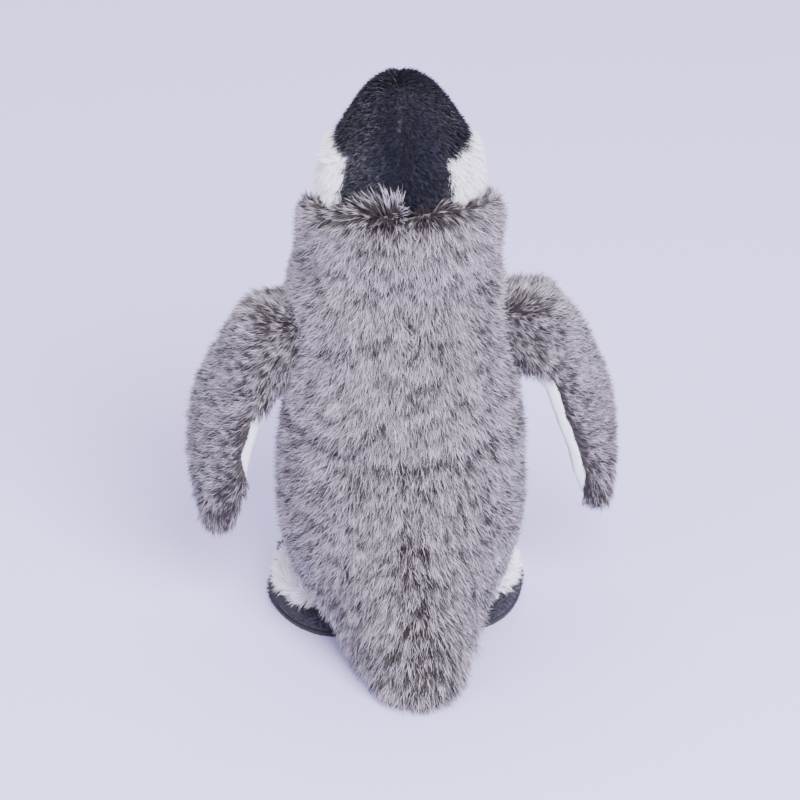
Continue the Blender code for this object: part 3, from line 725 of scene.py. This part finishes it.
def trunkField(points, normals, seamReach, nearest, whiteReach):
    angle, away = aroundTrunk(points)
    z = points[:, 2]
    turn = np.radians(62) * smoothStep(np.abs(angle), 0.05, 1.5)
    tailShare = smoothStep(points[:, 1] - trunkAxis.y, 0.050, 0.075)
    turn = turn * (1 - 0.75 * tailShare)
    grey = nearest < 5
    turn = np.where(grey, turn, 0.15)
    down = np.array([0, 0, -1.0])
    comb = np.cos(turn)[:, None] * down + np.sin(turn)[:, None] * away
    comb += np.array([0, 1.2, 0]) * (tailShare * (normals[:, 2] < -0.3))[:, None]
    collarReach = collarZ(points) - z
    atCollar = 1 - smoothStep(collarReach, 0.0005, 0.0060)
    parting = np.exp(-((collarReach - 0.0045) / 0.0040) ** 2)
    nape = np.exp(-((angle - 0.18) / 0.34) ** 2)  # the tuft that stands up behind the head
    comb += np.array([0, 0, 2.6]) * (atCollar * grey * nape)[:, None]
    comb += away * (0.15 * atCollar * grey * (1 - nape))[:, None]
    length = np.where(grey, 0.0115, 0.0090)
    length = np.where(nearest == 6, 0.0050, length)
    atSeam = np.exp(-(seamReach / 0.003) ** 2)
    length = length * (1 - 0.40 * atCollar * (1 - 1.8 * nape)) * (1 - 0.12 * atSeam)
    length = length * np.where(nearest == 4, 0.5, 1)
    whiteEdge = grey * (1 - smoothStep(whiteReach, 0.001, 0.011)) * (1 - smoothStep(z, 0.022, 0.036))
    length = length * (1 - 0.60 * whiteEdge * (1 - tailShare)) * (1 + 0.35 * tailShare)
    comb -= away * (0.7 * whiteEdge * (1 - tailShare))[:, None]
    comb += away * (0.9 * (nearest >= 5) * (1 - smoothStep(z, 0.015, 0.035)))[:, None]
    lift = 0.16 * atCollar * nape + 0.55 * parting * nape * grey + np.where(nearest == 6, -0.3, 0.0)
    lift += 0.10 * (nearest < 2) * (1 - smoothStep(waistReach(points), 0, 0.012))
    tone = np.where(grey, 0.03 + 0.03 * tailShare - 0.03 * (nearest < 2), 0)
    tone += 0.07 * np.exp(-(np.abs(angle) / 0.10) ** 2) * grey
    fromAxis = points[:, :2] - np.array(trunkAxis.xy)
    inside = (fromAxis * normals[:, :2]).sum(axis=1) < 0
    underHead = (np.linalg.norm(fromAxis, axis=1) < 0.021) & (z > trunkAxis.z - 0.008)
    density = 1.0 - ((inside & (z > trunkAxis.z - 0.004) & (collarReach > 0.004)) | underHead)
    return {"comb": comb, "furLength": length, "furLift": lift, "furTone": tone, "furDensity": density}


def collarZ(points):  # the neckline's height, which falls from the nape to the throat
    back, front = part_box("upper_back_left")[1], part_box("belly_panel")[1]
    y = points[:, 1]
    backY = trunkAxis.y + 0.035
    frontY = trunkAxis.y - 0.035
    return front.z + (back.z - front.z) * (y - frontY) / (backY - frontY)


def waistReach(points):  # how far above the seam between the upper and the lower back
    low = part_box("upper_back_left")[0]
    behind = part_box("upper_back_left")[1].y
    wander = np.array([noise.noise(Vector(p) / 0.011) for p in points]) * 0.0035
    return points[:, 2] - (low.z + 0.30 * (behind - points[:, 1])) + wander


def buildTrunk():
    look = trunkLook
    form = wholeForm("trunkForm", [*trunkPanels, "body_stuffing"], look["voxel"], look["rounds"])
    points, normals = meshArrays(form.data)
    x, z = points[:, 0] - trunkAxis.x, points[:, 2]
    shoulder = smoothStep(x, 0.008, 0.026) * np.exp(-((z - 0.152) / 0.017) ** 2)
    hem = smoothStep(np.abs(x), 0.018, 0.034) * (1 - smoothStep(z, 0.028, 0.050))
    hem *= smoothStep(points[:, 1], -0.02, 0)
    inset = look["skinInset"] - look["shoulderFill"] * shoulder + look["hemInset"] * hem
    fromAxis = points[:, :2] - np.array(trunkAxis.xy)
    neckWall = ((fromAxis * normals[:, :2]).sum(axis=1) < 0) & (z > trunkAxis.z - 0.002)
    reach = np.minimum(collarZ(points) - z, trunkAxis.z + 0.010 - z)
    inset *= smoothStep(reach, 0.002, 0.022) * ~neckWall  # the collar is too thin to draw in
    setPoints(form.data, points - normals * inset[:, None])
    _, seamReach = nearestNodes(points, trunkPanels)
    inflate(form, seamReach, look)
    subdivide(form)
    points, normals = meshArrays(form.data)
    nearest, seamReach = nearestNodes(points, trunkPanels)
    above = waistReach(points)
    angle, _ = aroundTrunk(points)
    behind = 1 - smoothStep(np.abs(angle), 1.1, 1.7)
    cape = look["capeLift"] * (1 - smoothStep(above, 0, look["capeReach"])) * (nearest < 2) * behind
    crease = look["creaseDepth"] * np.exp(-((above + 0.004) / 0.005) ** 2) * behind
    seam = look["seamDepth"] * np.exp(-(seamReach / 0.0022) ** 2)
    points = points + normals * (cape - crease - seam)[:, None]
    points[:, 2] = np.maximum(points[:, 2], 0.0012)
    setPoints(form.data, points)
    points, normals = meshArrays(form.data)
    whites = [nodeTree(nodeName) for nodeName in ("belly_panel", "base_panel")]
    whiteReach = np.array([min(tree.find_nearest(Vector(p))[3] for tree in whites) for p in points])
    field = trunkField(points, normals, seamReach, nearest, whiteReach)
    combSkin(form.data, field, normals, points)
    sewPanels(form, "trunk", trunkPanels, trunkFurs, look)


# head

headLook = {
    "voxel": 0.0024, "rounds": 3, "swell": 0.0016, "seamWidth": 0.005, "seamHold": 0.0010, "pressure": 4.0,
    "frames": 12, "skinInset": 0.0018, "crownInset": 0.0022, "sideInset": 0.0012, "cheekPuff": 0.0018,
    "partingDepth": 0.0004, "backing": 0.0012,
    "slots": {"black": "black_short_pile", "white": "white_short_pile"},
    "browSide": 0.029, "browForward": 0.012, "browWidth": 0.010, "browLength": 0.011, "browHeight": 0.006,
}
headPanels = ["head_cap_left", "head_cap_right", "cheek_left", "cheek_right"]
headFurs = {
    "head_cap": {"tuft": "short", "spacing": 0.00070, "yawSpread": 30, "riseSpread": 12, "fur": "black",
                 "seed": 31},
    "cheek": {"tuft": "medium", "spacing": 0.00082, "yawSpread": 16, "riseSpread": 9, "fur": "white",
              "seed": 35},
}


def headPlaces(points):  # left and forward of the head's axis as it looks, and the height
    away = points - np.array(trunkAxis)
    cos, sin = math.cos(headYaw), math.sin(headYaw)
    forward = away[:, 0] * sin - away[:, 1] * cos
    left = away[:, 0] * cos + away[:, 1] * sin
    return left, forward, points[:, 2]


def headWay(left, forward, up):
    cos, sin = math.cos(headYaw), math.sin(headYaw)
    return np.stack([left * cos + forward * sin, left * sin - forward * cos, up], axis=1)


def buildHead():
    look = headLook
    form = wholeForm("headForm", [*headPanels, "head_stuffing"], look["voxel"], look["rounds"])
    points, normals = meshArrays(form.data)
    crown = smoothStep(points[:, 2], 0.192, 0.212)
    leftSide = smoothStep(points[:, 0] - trunkAxis.x, 0.004, 0.024)
    inset = look["skinInset"] + crown * (look["crownInset"] + look["sideInset"] * leftSide)
    setPoints(form.data, points - normals * inset[:, None])
    _, seamReach = nearestNodes(points, headPanels)
    inflate(form, seamReach, look)
    subdivide(form)
    points, normals = meshArrays(form.data)
    nearest, seamReach = nearestNodes(points, headPanels)
    left, forward, up = headPlaces(points)
    isCheek = nearest > 1
    puff = look["cheekPuff"] * isCheek * smoothStep(seamReach, 0, 0.006)
    parting = look["partingDepth"] * np.exp(-(left / 0.002) ** 2) * ~isCheek
    points = points + normals * (puff - parting)[:, None]
    setPoints(form.data, points)
    points, normals = meshArrays(form.data)
    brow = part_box("cheek_left")[1].z
    browShare = np.exp(-(((up - brow) / look["browHeight"]) ** 2
                         + ((np.abs(left) - look["browSide"]) / look["browWidth"]) ** 2
                         + ((forward - look["browForward"]) / look["browLength"]) ** 2))
    side = np.sign(left)
    ones, none = np.ones(len(points)), np.zeros(len(points))
    cheekComb = headWay(side * 0.5, -0.5 * ones, -0.8 * ones)
    capComb = headWay(side * 0.9, -0.7 * ones, -0.3 * ones)
    comb = np.where(isCheek[:, None], cheekComb, capComb)
    comb += headWay(side * 2.0, 0.3 * ones, -0.2 * ones) * browShare[:, None]
    length = np.where(isCheek, 0.0068, 0.0040) + 0.0030 * browShare * ~isCheek
    lift = np.where(isCheek, 0.10, 0.12) + 0.25 * browShare
    face = smoothStep(forward, 0.018, 0.030) * isCheek
    length = length * (1 - 0.55 * face)
    field = {"comb": comb, "furLength": length, "furLift": lift, "furTone": none,
             "furDensity": 1.0 * (up > trunkAxis.z + 0.002)}
    combSkin(form.data, field, normals, points)
    sewPanels(form, "head", headPanels, headFurs, look)


# wings

wingLook = {
    "voxel": 0.0018, "rounds": 2, "swell": 0.0016, "seamWidth": 0.006, "seamHold": 0.0010, "pressure": 4.0,
    "frames": 12, "rootReach": 0.040, "rootPull": 0.0120, "rootSwell": 0.0016, "skinInset": 0.0004,
    "sliceStep": 0.0020, "thinning": 0.0030, "liningTurn": 0.62, "backing": 0.0012,
    "liningDrop": {"left": 0.040, "right": 0.026}, "tipFur": {"left": 0.026, "right": 0.006},
    "blendInward": 0.002, "blendRise": 0.004, "blendOutward": 0.010, "blendDrop": 0.014,
}
wingFur = {"tuft": "long", "spacing": 0.00082, "yawSpread": 14, "riseSpread": 7, "fur": "grey", "seed": 51}


def buildWing(side):
    sign = signs[side]
    outerNode, innerNode = f"wing_{side}_outer", f"wing_{side}_inner"
    look = wingLook
    nodeNames = [outerNode, innerNode, f"wing_{side}_padding"]
    form = wholeForm(f"{side}WingForm", nodeNames, look["voxel"], look["rounds"])
    fullSlices(form, look["sliceStep"], look["voxel"])
    root = np.array(wingRoots[side])
    low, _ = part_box(outerNode)
    tip = np.array([boxCentre(outerNode).x, boxCentre(outerNode).y, low.z])
    points, normals = meshArrays(form.data)
    _, seamReach = nearestNodes(points, [outerNode, innerNode])
    setPoints(form.data, points - normals * look["skinInset"])
    inflate(form, seamReach, look)
    points, normals = meshArrays(form.data)
    fromRoot = np.linalg.norm(points - root, axis=1)
    nearRoot = 1 - smoothStep(root[2] - points[:, 2], -0.004, look["rootReach"])
    inward = np.clip(0.45 - 0.9 * sign * normals[:, 0], 0, 1)  # the side towards the body
    outward = np.array([sign * 0.89, 0.45, 0])
    thin = look["thinning"] * smoothStep(-(normals @ outward), -0.3, 0.6)
    thin *= smoothStep(root[2] - points[:, 2], 0.02, 0.04)
    points += outward * thin[:, None]
    points[:, 0] -= sign * look["rootPull"] * nearRoot * inward
    points[:, 0] += sign * look["rootSwell"] * nearRoot * (1 - inward)
    setPoints(form.data, relax(points, meshEdges(form.data), 1, 0.4))
    points, normals = meshArrays(form.data)
    along = smoothStep(fromRoot, 0, np.linalg.norm(tip - root))
    trailing = np.array([-sign * 0.45, 0.89, 0])
    drop = root[2] - points[:, 2]
    atTip = smoothStep(points[:, 2] - low.z, 0.030, 0.008)
    down = np.array([0, 0, -1.0])
    behind = smoothStep((points - root) @ trailing, 0.002, 0.012)
    armpit = behind * (1 - smoothStep(drop, 0.030, 0.052)) * smoothStep(drop, 0.010, 0.022)
    across = (1.0 - 0.9 * atTip) * (1 - armpit)
    comb = -trailing * across[:, None] + down * (0.45 + 0.9 * atTip + 0.8 * armpit)[:, None]
    comb += outward * 0.3 * (1 - atTip)[:, None]
    atEdge = smoothStep(normals @ trailing, 0.1, 0.7)
    length = (0.0108 - 0.0012 * along) * (1 - 0.30 * atEdge * (1 - armpit))
    none = np.zeros(len(points))
    tone = 0.02 + 0.10 * atTip + 0.09 * armpit + 0.04 * atEdge
    field = {"comb": comb, "furLength": length, "furLift": none, "furTone": tone, "furDensity": none + 1}
    combSkin(form.data, field, normals, points)
    centres = faceCentres(form.data)
    even = unit(relax(normals, meshEdges(form.data), 10))
    inward = faceMeans(form.data, even @ -outward)
    behindFace = np.clip(faceMeans(form.data, even @ trailing) / 0.6, -1, 1)
    liningDrop, tipFur = look["liningDrop"][side], look["tipFur"][side]
    below = smoothStep(root[2] - centres[:, 2], liningDrop - 0.008, liningDrop + 0.004)
    above = smoothStep(centres[:, 2] - low.z, tipFur - 0.006, tipFur + 0.012)
    limit = 0.75 - above * (0.75 + look["liningTurn"] * behindFace)
    owner = 1 * (inward > 1.1 - below * (1.1 - limit))  # furred all round at the shoulder
    outer = patch(f"{side}WingOuterSkin", form, owner == 0)
    inner = patch(f"{side}WingInnerSkin", form, owner == 1)
    furLook = dict(wingFur)
    furLook["seed"] += sign
    fur = growFur(f"{side}WingOuterFur", outer, furLook)
    finishSkin(outer, "greyBacking", look["backing"])
    finishSkin(inner, "wingLining", look["backing"])
    for piece, nodeName, slotName in (
        (outer, outerNode, "grey_long_pile"), (fur, outerNode, "grey_long_pile"),
        (inner, innerNode, "wing_lining"),
    ):
        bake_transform(piece)
        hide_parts(nodeName)
    bpy.data.objects.remove(form)


# small parts

smallLooks = {
    "foot_upper": {"voxel": 0.0011, "rounds": 4, "material": "blackBacking", "slot": "black_short_pile"},
    "foot_sole": {"voxel": 0.0007, "rounds": 1, "material": "soleCloth", "slot": "sole_cloth"},
    "foot_pad": {"voxel": 0.0012, "rounds": 3, "material": "filling", "slot": "polyester_filling"},
    "leg": {"voxel": 0.0014, "rounds": 3, "material": "whiteBacking", "slot": "white_long_pile"},
    "padding": {"voxel": 0.0012, "rounds": 2, "material": "filling", "slot": "polyester_filling",
                "inset": 0.0012},
    "stuffing": {"voxel": 0.0030, "rounds": 3, "material": "filling", "slot": "polyester_filling",
                 "inset": 0.0070},
    "pellet": {"voxel": 0.0022, "rounds": 2, "material": "pelletCloth", "slot": "pellet_bag_cloth"},
    "beak": {"voxel": 0.0008, "rounds": 2, "material": "blackBacking", "slot": "black_short_pile"},
}
smallFurs = {
    "foot_upper": {"tuft": "short", "spacing": 0.0011, "yawSpread": 40, "riseSpread": 14, "fur": "black",
                   "seed": 71, "length": 0.0020},
    "leg": {"tuft": "medium", "spacing": 0.0010, "yawSpread": 30, "riseSpread": 10, "fur": "white",
            "seed": 75, "length": 0.0068},
    "beak": {"tuft": "short", "spacing": 0.0008, "yawSpread": 40, "riseSpread": 12, "fur": "black",
             "seed": 79, "length": 0.0013},
}


footBend = 0.0045  # how far the front half of a foot goes in under the belly
furRise = 0.001  # a foot's, leg's or beak's fur starts this far above its lowest point


def softPiece(name, nodeName, body, lookName):
    look = smallLooks[lookName]
    piece = wholeForm(name, [nodeName], look["voxel"], look["rounds"])
    points, normals = meshArrays(piece.data)
    setPoints(piece.data, points - normals * look.get("inset", 0))
    if lookName.startswith("foot"):
        points, _ = meshArrays(piece.data)
        sideways = np.sign(boxCentre(nodeName).x) * footBend
        points[:, 0] -= sideways * smoothStep(-points[:, 1], 0.026, 0.042)
        setPoints(piece.data, points)
    piece.data.shade_smooth()
    piece.data.materials.clear()
    piece.data.materials.append(clothMaterials[look["material"]])
    if lookName in smallFurs:
        furLook = smallFurs[lookName]
        points, normals = meshArrays(piece.data)
        count = len(points)
        way = np.tile(np.array([0, -1.0, -0.5]), (count, 1))
        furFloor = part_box(nodeName)[0].z + furRise
        density = 1.0 * (normals[:, 2] > -0.5) * (points[:, 2] > furFloor)
        field = {"comb": way, "furLength": np.full(count, furLook["length"]), "furLift": np.zeros(count),
                 "furTone": np.zeros(count), "furDensity": density}
        combSkin(piece.data, field, normals, points)
        fur = growFur(f"{name}Fur", piece, furLook)
        backTo(fur, body, [nodeName])
        dropFurAttributes(piece.data)
    return backTo(piece, body, [nodeName])


def buildSmallParts():
    for side in signs:
        softPiece(f"{side}FootUpper", f"foot_{side}_upper", "trunk", "foot_upper")
        softPiece(f"{side}FootSole", f"foot_{side}_sole", "trunk", "foot_sole")
        softPiece(f"{side}FootPad", f"foot_{side}_pad", "trunk", "foot_pad")
        softPiece(f"{side}Leg", f"leg_{side}", "trunk", "leg")
        softPiece(f"{side}WingPadding", f"wing_{side}_padding", f"wing_{side}", "padding")
    softPiece("bodyStuffing", "body_stuffing", "trunk", "stuffing")
    softPiece("headStuffing", "head_stuffing", "head", "stuffing")
    softPiece("pelletBag", "pellet_bag", "trunk", "pellet")
    softPiece("beakUpper", "beak_upper", "head", "beak")
    softPiece("beakLower", "beak_lower", "head", "beak")


plasticLooks = {
    "eye": {"roughness": 0.10, "rougher": 0.22, "coat": 0.8, "grain": 700, "bump": 0.04,
            "colour": (0.003, 0.0026, 0.003), "otherColour": (0.010, 0.007, 0.006)},
    "eye_washer": {"roughness": 0.32, "rougher": 0.48, "coat": 0.0, "grain": 1200, "bump": 0.15,
                   "colour": (0.66, 0.66, 0.68), "otherColour": (0.74, 0.73, 0.74)},
}


def plasticMaterial(name, look):  # moulded plastic, with faint flow marks in its colour and its gloss
    material, tree, shader = newMaterial(f"{name}Plastic", look["roughness"], Coat_Weight=look["coat"])
    place = addNode(tree, "ShaderNodeTexCoord").outputs["Object"]
    marks = {"Vector": place, "Scale": look["grain"], "Detail": 3}
    flow = addNode(tree, "ShaderNodeTexNoise", marks).outputs[0]
    tree.links.new(mixColour(tree, flow, look["colour"], look["otherColour"]), shader.inputs["Base Color"])
    gloss = mapRange(tree, flow, 0.3, 0.7)
    gloss.node.inputs["To Min"].default_value = look["roughness"]
    gloss.node.inputs["To Max"].default_value = look["rougher"]
    tree.links.new(gloss, shader.inputs["Roughness"])
    waves = {"Height": flow, "Strength": look["bump"], "Distance": 0.0002}
    bump = addNode(tree, "ShaderNodeBump", waves)
    tree.links.new(bump.outputs[0], shader.inputs["Normal"])
    return material


def paintPlastic():
    for name, look in plasticLooks.items():
        material = plasticMaterial("eye" if name == "eye" else "washer", look)
        for side in signs:
            for holder in frame["nodes"][f"{name}_{side}"].material_slots:
                holder.material = material


# set

setLook = {
    "floor": (0.60, 0.56, 0.95), "otherFloor": (0.63, 0.585, 0.97), "world": (0.81, 0.78, 1.0, 1),
    "worldStrength": 0.85, "lamp": (0.98, 0.96, 1.0), "floorSize": 8,
}
lightLooks = {
    "keyLight": {"place": (-0.4, 1.3, 1.3), "size": 1.1, "power": 115},
    "fillLight": {"place": (1.1, 0.7, 0.9), "size": 1.0, "power": 15},
    "topLight": {"place": (0, -0.6, 1.6), "size": 1.2, "power": 22},
}
cameraLook = {"azimuth": 174, "elevation": 28, "lens": 400, "distance": 3.512, "aimZ": 0.0965}


def buildSet():
    data = bpy.data.cameras.new("camera")
    data.lens = cameraLook["lens"]
    data.sensor_width = 36
    camera = bpy.data.objects.new("camera", data)
    bpy.context.scene.collection.objects.link(camera)
    azimuth, elevation = (math.radians(cameraLook[key]) for key in ("azimuth", "elevation"))
    way = Vector((math.sin(azimuth) * math.cos(elevation), -math.cos(azimuth) * math.cos(elevation),
                  math.sin(elevation)))
    aim = Vector((trunkAxis.x, trunkAxis.y, cameraLook["aimZ"]))
    camera.location = aim + way * cameraLook["distance"]
    camera.rotation_euler = (-way).to_track_quat("-Z", "Y").to_euler()
    bpy.context.scene.camera = camera

    bpy.ops.mesh.primitive_plane_add(size=setLook["floorSize"])
    floor = bpy.context.object
    floor.name = "studioFloor"
    material, tree, shader = newMaterial("studioFloor", 0.35, Coat_Weight=0.2, Coat_Roughness=0.12)
    place = addNode(tree, "ShaderNodeTexCoord").outputs["Object"]
    clouds = addNode(tree, "ShaderNodeTexNoise", {"Vector": place, "Scale": 2.0, "Detail": 2})
    colour = mixColour(tree, clouds.outputs[0], setLook["floor"], setLook["otherFloor"])
    tree.links.new(colour, shader.inputs["Base Color"])
    floor.data.materials.append(material)

    world = bpy.data.worlds.new("studio")
    world.use_nodes = True
    background = world.node_tree.nodes["Background"]
    background.inputs["Color"].default_value = setLook["world"]
    background.inputs["Strength"].default_value = setLook["worldStrength"]
    bpy.context.scene.world = world
    for name, look in lightLooks.items():
        lamp = bpy.data.lights.new(name, "AREA")
        lamp.size = look["size"]
        lamp.energy = look["power"]
        lamp.color = setLook["lamp"]
        holder = bpy.data.objects.new(name, lamp)
        bpy.context.scene.collection.objects.link(holder)
        holder.location = look["place"]
        holder.rotation_euler = (aim - holder.location).to_track_quat("-Z", "Y").to_euler()


print("set")
buildSet()
print("trunk")
buildTrunk()
print("head")
buildHead()
print("wings")
for wingSide in signs:
    buildWing(wingSide)
print("small parts")
buildSmallParts()
paintPlastic()
